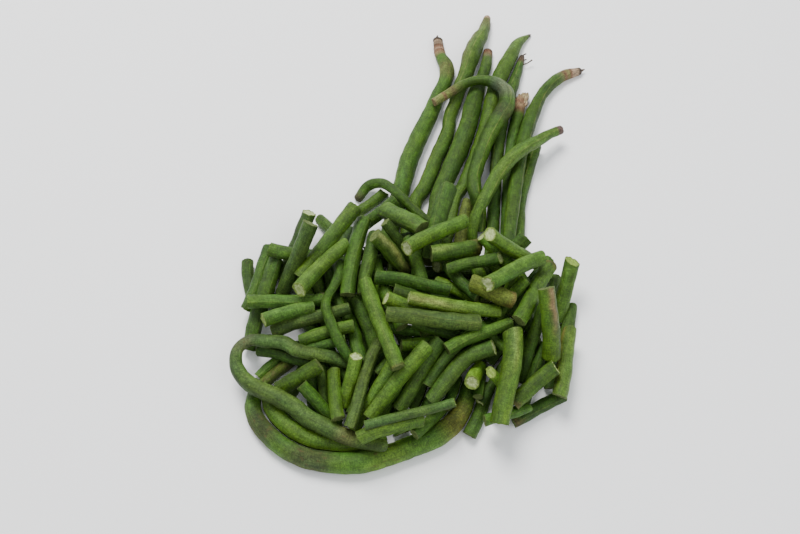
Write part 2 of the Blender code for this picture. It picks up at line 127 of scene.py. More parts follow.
FRONT_BEANS = [
    ("outer_front_bean", "mid", [
        (259, 391, 13), (254, 408, 16), (262, 425, 18), (278, 440, 19), (302, 452, 20), (332, 457, 21),
        (362, 456, 22), (392, 450, 21), (420, 441, 21), (445, 429, 21), (460, 412, 19), (467, 396, 17),
        (470, 386, 15)]),
    ("inner_front_bean", "mid", [
        (269, 398, 15), (276, 415, 18), (293, 433, 19), (320, 446, 19), (352, 450, 17), (377, 450, 14)]),
]

# Cut lengths: tone, first end, second end, width and, for some, how far the first end lies above the second.
LOW_CUTS = [
    ("dark", (249, 264), (259, 306), 13),
    ("dark", (270, 252), (249, 306), 14),
    ("mid", (278, 265), (252, 342), 17),
    ("dark", (307, 218), (286, 273), 14, 9),
    ("dark", (300, 268), (322, 322), 14),
    ("dark", (326, 262), (336, 312), 14),
    ("mid", (320, 219), (362, 262), 13),
    ("dark", (351, 232), (356, 290), 13),
    ("dark", (373, 238), (362, 292), 14),
    ("mid", (391, 203), (352, 237), 13),
    ("grey", (385, 224), (412, 266), 12),
    ("brown", (467, 202), (443, 246), 13),
    ("mid", (445, 195), (430, 252), 18),
    ("mid", (480, 243), (520, 284), 14, 6),
    ("mid", (475, 257), (480, 305), 15),
    ("mid", (486, 253), (528, 295), 13),
    ("dark", (545, 261), (507, 312), 13),
    ("mid", (526, 285), (501, 318), 13),
    ("dark", (447, 270), (482, 298), 13),
    ("bright", (438, 281), (485, 304), 12),
    ("dark", (412, 327), (456, 337), 12),
    ("dark", (380, 327), (424, 332), 11),
    ("dark", (463, 306), (500, 347), 12),
    ("dark", (561, 307), (562, 350), 14),
    ("dark", (551, 332), (552, 388), 14),
    ("dark", (519, 304), (541, 350), 13),
    ("dark", (540, 352), (532, 404), 13),
    ("dark", (554, 388), (510, 415), 14),
    ("dark", (499, 391), (463, 428), 14),
    ("mid", (526, 406), (484, 420), 13),
    ("dark", (476, 398), (510, 346), 10),
    ("bright", (490, 372), (511, 402), 12, 14),
    ("dark", (457, 347), (433, 386), 14),
    ("mid", (402, 345), (434, 342), 15),
    ("dark", (314, 366), (318, 412), 15),
    ("dark", (320, 370), (297, 396), 14),
    ("mid", (304, 349), (262, 374), 12),
    ("brown", (310, 356), (270, 381), 13),
    ("dark", (262, 350), (312, 362), 13),
    ("dark", (302, 386), (332, 424), 14),
    ("mid", (302, 338), (352, 327), 14, -4),
    ("dark", (300, 356), (345, 343), 11),
    ("grey", (277, 332), (346, 302), 14),
    ("mid", (266, 319), (312, 312), 14, 3),
    ("bright", (391, 369), (354, 430), 14),
    ("dark", (412, 437), (453, 404), 12),
    ("dark", (431, 370), (419, 412), 12),
    ("dark", (455, 376), (444, 412), 11),
    ("dark", (322, 368), (325, 410), 11),
    ("dark", (362, 372), (353, 412), 11),
    ("dark", (391, 382), (377, 420), 12),
    ("dark", (485, 362), (481, 404), 11),
    ("dark", (397, 250), (389, 288), 11),
    ("dark", (421, 236), (415, 272), 11),
    ("dark", (515, 274), (503, 302), 11),
    ("mid", (318, 360), (284, 390), 16),
    ("bright", (391, 291), (430, 317), 14, 5),
]

HAIRPIN = [
    ("hairpin_bean", "grey", [
        (345, 361, 12), (330, 357, 13), (300, 348, 14), (280, 340, 14), (262, 340, 13), (249, 344, 11),
        (241, 356, 12), (246, 374, 14), (262, 388, 16), (285, 402, 17), (310, 418, 17), (335, 431, 16),
        (355, 439, 15), (378, 445, 12)]),
]

MIDDLE_CUTS = [
    ("mid", (271, 256), (318, 261), 13, 3),
    ("mid", (352, 212), (300, 270), 15, 6),
    ("grey", (312, 227), (284, 292), 15),
    ("mid", (384, 193), (346, 220), 11),
    ("mid", (388, 212), (424, 233), 19, -7),
    ("dark", (498, 254), (453, 268), 12, 4),
    ("mid", (409, 242), (424, 290), 13),
    ("dark", (378, 279), (448, 289), 14),
    ("grey", (389, 314), (475, 323), 18),
    ("dark", (351, 300), (369, 352), 15, 8),
    ("grey", (375, 343), (347, 426), 13),
    ("mid", (331, 368), (336, 420), 14),
    ("bright", (357, 359), (347, 402), 14, 13),
    ("mid", (437, 344), (402, 406), 16),
    ("mid", (509, 324), (446, 348), 14),
    ("brown", (477, 287), (512, 300), 18, 2),
    ("mid", (489, 239), (532, 264), 15),
    ("bright", (569, 333), (560, 394), 17),
    ("mid", (569, 268), (549, 313), 15, 16),
    ("dark", (536, 305), (525, 375), 13),
    ("mid", (552, 369), (515, 399), 16, 5),
    ("mid", (419, 421), (361, 437), 17),
]

TOP_CUTS = [
    ("mid", (251, 302), (322, 301), 15),
    ("bright", (340, 243), (296, 289), 15, -7),
    ("mid", (369, 222), (351, 296), 16),
    ("mid", (431, 264), (474, 249), 14, 9),
    ("mid", (407, 248), (462, 221), 15, 5),
    ("mid", (432, 243), (476, 247), 17, 4),
    ("mid", (541, 259), (487, 284), 15, -6),
    ("mid", (549, 265), (517, 322), 15),
    ("mid", (546, 290), (550, 352), 17),
    ("mid", (512, 335), (500, 415), 20),
    ("bright", (368, 283), (400, 366), 17),
    ("bright", (409, 299), (498, 309), 14),
    ("mid", (424, 347), (368, 411), 16),
    ("grey", (454, 403), (366, 426), 10),
    ("bright", (470, 386), (485, 361), 16, 12),
]

TOP_BEANS = [
    ("curved_bean", "dark", [(490, 348, 17), (465, 357, 17), (443, 380, 17), (432, 399, 16)]),
    ("tapering_bean", "mid", [(377, 237, 15), (388, 246, 17), (402, 261, 15), (412, 275, 6)]),
    ("twisted_bean", "dark", [
        (338, 263, 13), (338, 280, 12), (330, 292, 10), (325, 303, 10), (329, 318, 11), (338, 338, 12),
        (348, 357, 11)]),
    ("hook_bean", "dark", [
        (363, 194, 9), (368, 187, 10), (378, 184, 10), (390, 188, 10), (402, 197, 10), (414, 210, 10),
        (428, 224, 9)]),
]


def on_plan(x, y, height):
    """Plan position in mm, and mm per picture unit, of a picture point at this height."""
    rise = VIEW_CENTRE[1] - y
    drop = VIEW_FOCAL * math.sin(VIEW_RISE) - rise * math.cos(VIEW_RISE)
    scale = (AIM_HEIGHT + VIEW_REACH * math.sin(VIEW_RISE) - height) / drop
    forward = VIEW_FOCAL * math.cos(VIEW_RISE) + rise * math.sin(VIEW_RISE)
    across = scale * (x - VIEW_CENTRE[0])
    return np.stack([across, scale * forward - VIEW_REACH * math.cos(VIEW_RISE)], axis=1), scale


def along(points):
    """Distance of each point from the first, along the line through them."""
    return np.concatenate([[0.0], np.cumsum(np.linalg.norm(np.diff(points, axis=0), axis=1))])


def curve_through(rows, at, where):
    """The rows read along a smooth line at these distances."""
    slope = np.gradient(rows, at, axis=0)
    part = np.clip(np.searchsorted(at, where, side="right") - 1, 0, len(at) - 2)
    span = (at[part + 1] - at[part])[:, None]
    t = (where - at[part])[:, None] / span
    start, end = rows[part], rows[part + 1]
    return (
        (2 * t**3 - 3 * t**2 + 1) * start
        + (t**3 - 2 * t**2 + t) * span * slope[part]
        + (3 * t**2 - 2 * t**3) * end
        + (t**3 - t**2) * span * slope[part + 1]
    )


def eased(rows, count):
    """This many rows evenly spaced along the line through the rows."""
    rows = np.array(rows, float)
    at = along(rows[:, :2])
    return curve_through(rows, at, np.linspace(0, at[-1], count))


class Bean:
    """One bean: its rows in the picture, or none, and its middle line's points and radii in mm.

    tip is how far the first end of a cut length is asked to lie above the second.
    """

    def __init__(self, name, tone, rows, points, radii):
        self.name = name
        self.tone = tone
        self.rows = rows
        self.points = points
        self.radii = radii
        self.tip = 0


def mound_height(rows):
    """The height at which a bean in the mound is thought to lie while it is put in place."""
    out = (rows[:, 0] - MOUND_MIDDLE[0]) ** 2 / MOUND_HALF[0] ** 2
    out = out + (rows[:, 1] - MOUND_MIDDLE[1]) ** 2 / MOUND_HALF[1] ** 2
    return 4.0 + MOUND_HEIGHT * np.maximum(1 - out, 0)


def from_picture(name, tone, rows, low):
    """A bean on the plan. A low one is thought to lie on the floor, and a cut length level."""
    height = mound_height(rows) * (0 if low else 1)
    if len(rows) == 2:
        height = np.full(2, height.mean())
    plan, scale = on_plan(rows[:, 0], rows[:, 1], height)
    points = np.column_stack([plan, np.zeros(len(plan))])
    return Bean(name, tone, rows, points, rows[:, 2] * scale / 2)


def long_ones(beans, low):
    for name, tone, rows in beans:
        length = along(np.array(rows, float)[:, :2])[-1] * VIEW_REACH / VIEW_FOCAL
        yield from_picture(name, tone, eased(rows, int(length / RING_STEP) + 4), low)


def cut_ones(cuts):
    for tone, start, end, width, *tip in cuts:
        bean = from_picture("cuts", tone, np.array([(*start, width), (*end, width)], float), False)
        bean.tip = sum(tip)
        yield bean


def inner_ones():
    """The cut lengths inside the mound: two rounds on the floor, the second one narrower."""
    for count, wide, deep in UNDER_PASSES:
        for k in reversed(range(count)):
            out = math.sqrt((k + 0.5) / count)
            turn = k * GOLDEN_TURN
            middle = np.array([
                UNDER_MIDDLE[0] + wide * out * math.cos(turn),
                UNDER_MIDDLE[1] + deep * out * math.sin(turn),
                0,
            ])
            facing = 2.0 * k
            half = np.array([math.cos(facing), math.sin(facing), 0]) * UNDER_LENGTH / 2
            radii = np.full(2, UNDER_RADIUS - 0.25 * (k % 3))
            yield Bean("inner_cuts", "dark", None, np.stack([middle - half, middle + half]), radii)


def all_beans():
    """Every bean on the plan, the lowest first."""
    return [
        *long_ones(BACK_BEANS, True),
        *inner_ones(),
        *long_ones(FRONT_BEANS, True),
        *cut_ones(LOW_CUTS),
        *long_ones(HAIRPIN, False),
        *cut_ones(MIDDLE_CUTS),
        *cut_ones(TOP_CUTS),
        *long_ones(TOP_BEANS, False),
    ]


def samples(bean):
    """Points and radii close together along the bean."""
    at = along(bean.points)
    where = np.linspace(0, at[-1], int(at[-1] / SAMPLE_STEP) + 2)
    line = np.stack([np.interp(where, at, bean.points[:, k]) for k in range(3)], axis=1)
    return line, np.interp(where, at, bean.radii), where


def lie_limp(lowest, where):
    """Heights of a long bean: it drapes over its supports, and bends no more sharply than it can."""
    bend = (where[:, None] - where) ** 2 / (2 * BEND_RADIUS)
    arched = (lowest - bend).max(axis=1)
    widened = (arched - bend).max(axis=1)
    return (widened + bend).min(axis=1)


def stack(beans):
    """Gives each bean its first height: clear above all that were laid before it."""
    placed = np.zeros((0, 3))
    wide = np.zeros(0)
    for bean in beans:
        line, radii, where = samples(bean)
        reach = radii[:, None] + wide + GAP
        apart = ((line[:, None, :2] - placed[:, :2]) ** 2).sum(axis=2)
        lift = np.where(apart < reach**2, placed[:, 2] + np.sqrt(np.maximum(reach**2 - apart, 0)), 0)
        lowest = np.maximum(radii * FACET_DROP, lift.max(axis=1, initial=0))
        line[:, 2] = lie_limp(lowest, where) if len(bean.points) > 2 else lowest.max()
        bean.points[:, 2] = np.interp(along(bean.points), where, line[:, 2])
        placed = np.concatenate([placed, line])
        wide = np.concatenate([wide, radii])


class Settling:
    """All beans as straight links between points, moved apart where they touch."""

    def __init__(self, beans):
        self.beans = beans
        counts = [len(bean.points) for bean in beans]
        self.first = np.cumsum([0, *counts])
        self.points = np.concatenate([bean.points for bean in beans])
        self.radii = np.concatenate([bean.radii for bean in beans])
        self.bean_of = np.repeat(np.arange(len(beans)), counts)
        self.starts = np.flatnonzero(np.diff(self.bean_of) == 0)
        self.owner = self.bean_of[self.starts]
        self.length = np.linalg.norm(self.points[self.starts + 1] - self.points[self.starts], axis=1)
        self.is_long = np.array(counts)[self.bean_of] > 2
        pictured = [np.zeros((count, 3)) if bean.rows is None else bean.rows
                    for bean, count in zip(beans, counts)]
        self.rows = np.concatenate(pictured)
        self.has_rows = np.repeat([bean.rows is not None for bean in beans], counts)
        self.home = self.points[:, :2].copy()
        self.tipped = np.array([k for k, bean in enumerate(beans) if bean.tip])
        self.tips = np.array([beans[k].tip for k in self.tipped], float)
        one, two = np.triu_indices(len(self.starts), 1)
        other = self.owner[one] != self.owner[two]
        self.all_pairs = one[other], two[other]
        self.joined = np.zeros((len(beans), len(beans)), bool)
        self.gather()

    def nearest(self, one, two):
        """Where two links come closest, as parts of each, and the way from the second to the first."""
        p, q = self.points[self.starts[one]], self.points[self.starts[two]]
        d, e = self.points[self.starts[one] + 1] - p, self.points[self.starts[two] + 1] - q
        r = p - q
        dd, ee, de = (d * d).sum(1), (e * e).sum(1), (d * e).sum(1)
        dr, er = (d * r).sum(1), (e * r).sum(1)
        s = np.clip((de * er - dr * ee) / np.maximum(dd * ee - de * de, 1e-6), 0, 1)
        t = np.clip((de * s + er) / ee, 0, 1)
        s = np.clip((de * t - dr) / dd, 0, 1)
        return s, t, p + s[:, None] * d - q - t[:, None] * e

    def gather(self):
        """Finds the links that are near each other."""
        _, _, away = self.nearest(*self.all_pairs)
        near = (away**2).sum(1) < NEAR**2
        self.pairs = self.all_pairs[0][near], self.all_pairs[1][near]

    def contacts(self):
        one, two = self.pairs
        s, t, away = self.nearest(one, two)
        apart = np.maximum(np.linalg.norm(away, axis=1), 1e-6)
        a, b = self.starts[one], self.starts[two]
        touch = self.radii[a] * (1 - s) + self.radii[a + 1] * s
        touch = touch + self.radii[b] * (1 - t) + self.radii[b + 1] * t
        return s, t, away / apart[:, None], apart - touch

    def separate(self):
        """Moves links apart to the gap, and draws joined ones together."""
        one, two = self.pairs
        s, t, normal, clear = self.contacts()
        joined = self.joined[self.owner[one], self.owner[two]]
        short = np.where(joined, -JOIN_DEPTH, GAP) - clear
        nearest_joined = np.full(self.joined.shape, np.inf)
        keys = self.owner[one], self.owner[two]
        np.minimum.at(nearest_joined, keys, clear)
        drawn = joined & (clear <= nearest_joined[keys])
        active = np.where(joined, drawn, short > 0)
        share = (1 - s) ** 2 + s**2 + (1 - t) ** 2 + t**2
        push = (short / share)[:, None] * normal
        ends = np.concatenate([self.starts[one], self.starts[one] + 1,
                               self.starts[two], self.starts[two] + 1])
        part = np.concatenate([1 - s, s, t - 1, -t])
        live = np.tile(active, 4) & (np.abs(part) > 0.02)
        ends = ends[live]
        moves = (np.tile(push, (4, 1)) * part[:, None])[live]
        count = np.maximum(np.bincount(ends, minlength=len(self.points)), 1)
        for axis in range(3):
            total = np.bincount(ends, weights=moves[:, axis], minlength=len(self.points))
            self.points[:, axis] += 1.25 * total / count
        self.keep_lengths()
        self.points[:, 2] = np.maximum(self.points[:, 2], self.radii * FACET_DROP)
        self.points = np.round(self.points, PLACES)

    def keep_lengths(self):
        a, b = self.starts, self.starts + 1
        link = self.points[b] - self.points[a]
        size = np.linalg.norm(link, axis=1)
        change = (0.5 * (self.length - size) / size)[:, None] * link
        for half in (0, 1):
            chosen = np.arange(len(a)) % 2 == half
            np.add.at(self.points, b[chosen], change[chosen])
            np.add.at(self.points, a[chosen], -change[chosen])

    def pull_home(self, pull, real_heights):
        """Draws each bean to its place, and smooths the way in which a long one leaves its place."""
        goal = np.column_stack([self.home, np.zeros(len(self.home))])
        if real_heights:
            seen = self.has_rows
            goal[seen, :2] = on_plan(self.rows[seen, 0], self.rows[seen, 1], self.points[seen, 2])[0]
        off = self.points - goal
        off[:, :2] *= 1 - np.where(self.is_long, 3 * pull, pull)[:, None]
        ends = np.diff(self.bean_of, prepend=-1) + np.diff(self.bean_of, append=-1)
        inner = np.flatnonzero(ends == 0)
        middle = (off[inner - 1] + off[inner + 1]) / 2
        off[inner] += SUPPLE * (middle - off[inner])
        self.points = goal + off
        high = self.first[self.tipped]
        change = TIPPING * (self.tips - (self.points[high, 2] - self.points[high + 1, 2]))
        self.points[high, 2] += change
        self.points[high + 1, 2] -= change

    def settle(self, rounds, real_heights):
        for turns, fall, pull in rounds:
            for turn in range(turns):
                if turn % 8 == 0:
                    self.gather()
                self.points[:, 2] -= fall
                if fall:
                    self.pull_home(pull, real_heights)
                for _ in range(SWEEPS):
                    self.separate()
        self.gather()

    def join(self):
        """Joins cut lengths that touch, the closest first, into small groups. Returns the groups."""
        groups = [[k] for k in range(len(self.beans))]
        group_of = list(range(len(self.beans)))
        _, _, normal, clear = self.contacts()
        link = (self.points[self.starts + 1] - self.points[self.starts]) / self.length[:, None]
        beside = np.ones(len(clear), bool)
        for links in self.pairs:
            beside &= np.abs((normal * link[links]).sum(1)) < SIDEWAYS
        for pair in np.argsort(np.round(clear, PLACES), kind="stable"):
            if not beside[pair]:
                continue
            one, two = (int(self.owner[links[pair]]) for links in self.pairs)
            name = self.beans[one].name
            if clear[pair] > MOST_DRAWN or name != self.beans[two].name or name not in MOST_JOINED:
                continue
            first, second = group_of[one], group_of[two]
            if first == second or len(groups[first]) + len(groups[second]) > MOST_JOINED[name]:
                continue
            self.joined[one, two] = self.joined[two, one] = True
            groups[first] += groups[second]
            for bean in groups[second]:
                group_of[bean] = first
            groups[second] = []
        return [group for group in groups if group]


def laid_groups():
    """The beans at rest, in the groups that they are joined in."""
    beans = all_beans()
    stack(beans)
    heap = Settling(beans)
    heap.settle(FALL_ROUNDS[:1], False)
    heap.settle(FALL_ROUNDS[1:], True)
    groups = heap.join()
    heap.settle(JOIN_ROUNDS, True)
    for k, bean in enumerate(beans):
        bean.points = heap.points[heap.first[k]:heap.first[k + 1]]
    return [[beans[k] for k in group] for group in groups]


def with_ends(bean):
    """The bean's middle line, drawn out to its end faces."""
    points = bean.points.copy()
    for end, inner in ((0, 1), (-1, -2)):
        out = points[end] - points[inner]
        points[end] += out / np.linalg.norm(out) * END_INSET * bean.radii[end]
    return points


# The skin's mesh: mm between its rings, the points of a ring, and the least radius in mm.
RING_GAP = 1.0
SIDES = 32
LEAST_RADIUS = 0.4

# How far a cut length bows, sways and narrows, as shares of its length and radius.
BOW = 0.035
SWAY = 0.012
TAPER = 0.07

# Reliefs of the skin as shares of the radius, the half width of a seam in radians, and in mm the pitch
# of seeds and stem rings and the calm stretch at each end.
SEED_PITCH = 10.5
SEED_SWELL = 0.035
SAG = 0.03
SEAM_RISE = 0.03
SEAM_HALF = 0.14
WRINKLE = 0.022
FINE_WRINKLE = 0.010
STEM_RING_PITCH = 2.6
STEM_RING_DEPTH = 0.10
END_FADE = 5.0

# How much of the skin's own colour the painted marks cover, stains, stripes and painted highlights among
# them, how strongly the faint seams show, and how deep in a cut face its rim is painted.
STAIN_AND_HIGHLIGHT_COVER = 0.65
STRIPE_AND_HIGHLIGHT_COVER = 0.85
BROWNED_COVER = 0.6
FAINT_SEAM = 0.35
RIM_LIGHT = 0.2
VIEW_WAY = np.array([0, -math.cos(VIEW_RISE), math.sin(VIEW_RISE)])

# Rings of an end, from its rim inwards: how narrow, and how far out.
CUT_FACE = (
    (0.97, 0.04), (0.9, 0.02), (0.82, -0.1), (0.68, -0.22), (0.5, -0.25), (0.32, -0.3), (0.14, -0.42),
)
ROUND_END = tuple((math.cos(a), 0.75 * math.sin(a)) for a in np.radians([14, 28, 42, 56, 70, 82]))
POINT_END = ((0.85, 0.25), (0.6, 0.6), (0.35, 1.1), (0.15, 1.6))

# The tones' skin colours, and how worn their skins are.
SKIN_COLOURS = {
    "dark": (0.031, 0.074, 0.007),
    "mid": (0.044, 0.098, 0.009),
    "bright": (0.075, 0.152, 0.014),
    "grey": (0.042, 0.082, 0.013),
    "brown": (0.062, 0.088, 0.012),
}
WORN = {"dark": 0.2, "mid": 0.25, "bright": 0.1, "grey": 0.4, "brown": 0.7}

# How light a bean is beside its tone, and over how many mm its far end pales to this many times its colour.
SHADES = {
    "left_long_bean": 0.76, "tall_long_bean": 0.92, "middle_long_bean": 0.76, "hooked_long_bean": 0.92,
    "pointed_long_bean": 0.84, "bent_long_bean": 0.84, "outer_front_bean": 1.2, "inner_front_bean": 1.1,
}
PALE_TIPS = {"tall_long_bean": 60, "pointed_long_bean": 45, "bent_long_bean": 40, "middle_long_bean": 25}
PALE_TIP_SHADE = (1.75, 1.45, 3.0)

# Cut ends that show their flesh, by their picture point: how pale they are, how many degrees their face
# turns towards the view, and how green the pith is. The others are dull and turn away from the view.
PALE_ENDS = {
    (296, 289): (0.9, 14, 0.4), (307, 218): (0.9, 26, 0), (384, 193): (0.6, 24, 0.6),
    (369, 222): (0.3, 6, 0), (407, 248): (1.0, 16, 0), (351, 300): (0.75, 18, 0.7),
    (391, 291): (0.8, 16, 0.2), (266, 319): (0.7, 4, 0.7), (431, 264): (0.9, 12, 0.2),
    (498, 254): (0.6, 22, 0.3), (480, 243): (0.8, 24, 0.3), (489, 239): (0.9, 24, 0.2),
    (487, 284): (1.0, 20, 0.1), (569, 268): (0.8, 30, 1), (357, 359): (1.0, 26, 0.1),
    (368, 411): (0.45, 2, 0.5), (470, 386): (0.9, 2, 0.2), (490, 372): (0.8, 30, 0.9),
    (552, 369): (0.9, 16, 0), (454, 403): (0.7, 18, 0), (476, 398): (0.7, 0, 0),
    (251, 302): (0.5, -4, 0.6), (271, 256): (0.4, -4, 0.5), (388, 212): (0.4, 0, 0.4),
    (448, 289): (0.4, -6, 0.3), (368, 283): (0.35, 0, 0.4), (409, 299): (0.5, 0, 0.4),
    (331, 368): (0.3, 4, 0.3),
}
DULL_END = (0.15, -15, 0.4)

# Broad stripes, by the first end's picture point or the bean's name: their colour, their half width and
# place round the bean as angles from the top, and how far they reach from the far end in parts. The light
# green stripe at (512, 335) is a painted highlight along the bean's top.
STRIPES_AND_HIGHLIGHTS = {
    (546, 290): ((0.230, 0.150, 0.070), 0.42, -0.35, 0.75),
    (569, 333): ((0.150, 0.140, 0.035), 0.30, 1.0, 1.2),
    (409, 299): ((0.180, 0.230, 0.060), 0.45, 0.5, 0.7),
    (512, 335): ((0.110, 0.170, 0.030), 0.35, -0.3, 0.6),
    (432, 243): ((0.100, 0.160, 0.025), 0.50, 0.0, 0.6),
    "tapering_bean": ((0.180, 0.215, 0.060), 0.45, 0.2, 1.2),
    "tall_long_bean": ((0.105, 0.120, 0.035), 0.50, 0.9, 0.4),
}

# Browned ends of cut lengths, by their picture point: how many mm are brown.
BROWNED = {
    (476, 247): 5, (322, 301): 2, (512, 300): 4, (515, 399): 3, (549, 265): 3, (510, 415): 6,
    (400, 366): 2,
}
BROWNED_COLOUR = (0.085, 0.052, 0.018)

# Ends of the long beans, the far and the near one: shape, paleness, turn to the view and green of the pith.
CUT = ("cut", *DULL_END)
ROUND = ("round", 0, 0, 0)
POINT = ("point", 0, 0, 0)
LONG_ENDS = dict.fromkeys(
    ("withered_long_bean", "thin_long_bean", "bent_long_bean", "left_long_bean", "middle_long_bean",
     "hook_bean"),
    (ROUND, CUT),
) | {
    "pointed_long_bean": (POINT, CUT),
    "tall_long_bean": (("cut", 0, 0, 0), CUT),
    "hooked_long_bean": (("cut", 0.5, 0, 0), CUT),
    "crossing_long_bean": (("cut", 0, 8, 0), CUT),
    "inner_front_bean": (ROUND, ROUND),
    "hairpin_bean": (CUT, ROUND),
    "curved_bean": (("cut", 0.95, 14, 0), CUT),
    "tapering_bean": (("cut", 0.1, -15, 0), POINT),
    "twisted_bean": (ROUND, ("cut", 0.1, -10, 0)),
    "thread": (ROUND, ROUND),
    "sepal": (POINT, POINT),
}

# Beans that are rolled so that a seam faces up.
SEAM_SHOWS = ("tall_long_bean", "bent_long_bean", "hooked_long_bean", "thin_long_bean", "buried_long_bean",
              "crossing_long_bean")

# Dry and stained ends: the colours met from the far end on, with their distances from it. None is the
# bean's own green. Sepals are lighter or darker by their own green beside SEPAL_SHADE.
DARK_TIP = (0.050, 0.036, 0.026)
PALE_STEM = (0.330, 0.235, 0.150)
RED_BROWN = (0.170, 0.085, 0.048)
TAN = (0.240, 0.165, 0.085)
SEPAL_SHADE = 0.055
FAR_COLOURS = {
    "left_long_bean": ((0, DARK_TIP), (0.8, DARK_TIP), (1.6, PALE_STEM), (2.6, PALE_STEM), (3.2, DARK_TIP),
                       (4.2, PALE_STEM), (5.4, DARK_TIP), (6.2, RED_BROWN), (8, RED_BROWN), (9, PALE_STEM),
                       (11, RED_BROWN), (13, TAN), (16, None)),
    "tall_long_bean": ((0, PALE_STEM), (1.5, PALE_STEM), (3, (0.11, 0.11, 0.04)), (8, (0.09, 0.11, 0.03)),
                       (14, None)),
    "middle_long_bean": ((0, (0.09, 0.05, 0.03)), (2, RED_BROWN), (4, (0.14, 0.12, 0.05)), (7, None)),
    "hooked_long_bean": ((0, TAN), (1.5, (0.20, 0.22, 0.07)), (6, (0.17, 0.21, 0.05)), (8, RED_BROWN),
                         (10, (0.14, 0.18, 0.04)), (15, (0.12, 0.10, 0.04)), (18, (0.10, 0.14, 0.03)),
                         (24, None)),
    "pointed_long_bean": ((0, DARK_TIP), (1.5, (0.09, 0.09, 0.05)), (3, None)),
    "thin_long_bean": ((0, DARK_TIP), (4, (0.09, 0.06, 0.035)), (7, None)),
    "withered_long_bean": ((0, TAN), (4, RED_BROWN), (8, TAN), (11, (0.12, 0.06, 0.03)), (15, None)),
    "bent_long_bean": ((0, DARK_TIP), (0.6, DARK_TIP), (1.8, PALE_STEM), (5.5, PALE_STEM), (7, RED_BROWN),
                       (9, (0.17, 0.17, 0.06)), (12, RED_BROWN), (14, (0.11, 0.13, 0.04)), (18, None)),
    "crossing_long_bean": ((0, (0.12, 0.08, 0.07)), (3, (0.10, 0.065, 0.05)), (5, None)),
    "hook_bean": ((0, (0.06, 0.06, 0.025)), (5, None)),
    "thread": ((0, (0.09, 0.06, 0.04)), (40, (0.06, 0.045, 0.03))),
    "sepal": ((0, RED_BROWN), (1.5, TAN), (3, PALE_STEM), (5, (0.36, 0.31, 0.16)), (7, TAN), (40, TAN)),
}

# Marks in the skin, and the darker and lighter colour of each kind of flesh on a cut face.
SEAM_COLOUR = (0.17, 0.185, 0.045, 1)
BLOTCH_COLOUR = (0.082, 0.056, 0.022, 1)
SPOT_COLOUR = (0.050, 0.034, 0.012, 1)
HOLLOW_COLOUR = (0.16, 0.22, 0.05, 1)
PITH = (0.31, 0.41, 0.12, 1), (0.62, 0.68, 0.38, 1)
FRESH_PITH = (0.13, 0.23, 0.02, 1), (0.34, 0.47, 0.08, 1)
RIND = (0.10, 0.17, 0.02, 1), (0.24, 0.33, 0.07, 1)
DULL_FLESH = (0.055, 0.085, 0.016, 1), (0.16, 0.21, 0.06, 1)

# The skin's shine, and the depth of its bump in metres.
SKIN_SPECULAR = 0.2
BUMP_DEPTH = 0.0008

# Stains on the skin, and one painted highlight, the light green patch at 0.58 of the outer front bean:
# the part of the bean's length, their half length in parts, and their colour.
STAINS_AND_HIGHLIGHTS = {
    "outer_front_bean": ((0.14, 0.11, (0.046, 0.042, 0.020)), (0.34, 0.12, (0.048, 0.046, 0.023)),
                         (0.58, 0.1, (0.100, 0.185, 0.020)), (0.86, 0.10, (0.120, 0.100, 0.016))),
    "hairpin_bean": ((0.36, 0.06, (0.080, 0.085, 0.034)), (0.88, 0.05, (0.090, 0.100, 0.032))),
    "hooked_long_bean": ((0.33, 0.08, (0.100, 0.120, 0.075)), (0.46, 0.06, (0.038, 0.050, 0.016))),
    "tapering_bean": ((0.9, 0.3, (0.075, 0.050, 0.020)),),
    "left_long_bean": ((0.16, 0.06, (0.095, 0.105, 0.030)),),
}


def smooth_step(value):
    value = np.clip(value, 0, 1)
    return value * value * (3 - 2 * value)


def ripple(rng, at, count, longest, shortest):
    """A smooth irregular run of values along a bean, about one in size."""
    total = np.zeros(np.shape(at))
    for size in np.geomspace(longest, shortest, count):
        total += rng.uniform(0.4, 1.0) * np.sin(2 * math.pi * (at / size + rng.uniform()))
    return total / count


def ragged(rng, size):
    """How far a torn rim stands out, round its ring."""
    turn = np.linspace(0, 2 * math.pi, SIDES, endpoint=False)
    waves = sum(rng.uniform(0.3, 1) * np.cos(k * turn + rng.uniform(0, 6)) for k in (2, 3, 5, 8, 11))
    return size * (waves / 2 + rng.uniform(-0.5, 0.5, SIDES))


def stand(name, data):
    """An object with this data, put in the scene."""
    thing = bpy.data.objects.new(name, data)
    bpy.context.scene.collection.objects.link(thing)
    return thing


class Skin:
    """The vertices, faces and painted layers of one piece, gathered bean by bean.

    grain is the place in the straightened bean. wear is dryness, spots and seams, with the spots' share
    raised under painted highlight patches too. cut is the depth into a cut face, its paleness and the green
    of its pith.
    """

    LAYERS = ("grain", "skin_colour", "wear", "cut")

    def __init__(self):
        self.points, self.faces, self.painted = [], [], []
        self.count = 0

    def add(self, points, faces, *painted):
        self.faces += [tuple(k + self.count for k in face) for face in faces]
        self.count += len(points)
        self.points.append(points)
        self.painted.append(painted)

    def build(self, name):
        mesh = bpy.data.meshes.new(name)
        points = (np.concatenate(self.points) - (*PLAN_CENTRE, 0)) * MM
        mesh.from_pydata(points.tolist(), [], self.faces)
        for title, values in zip(self.LAYERS, zip(*self.painted)):
            layer = mesh.attributes.new(title, "FLOAT_VECTOR", "POINT")
            layer.data.foreach_set("vector", np.concatenate(values).astype(np.float32).ravel())
        mesh.shade_smooth()
        return stand(name, mesh)


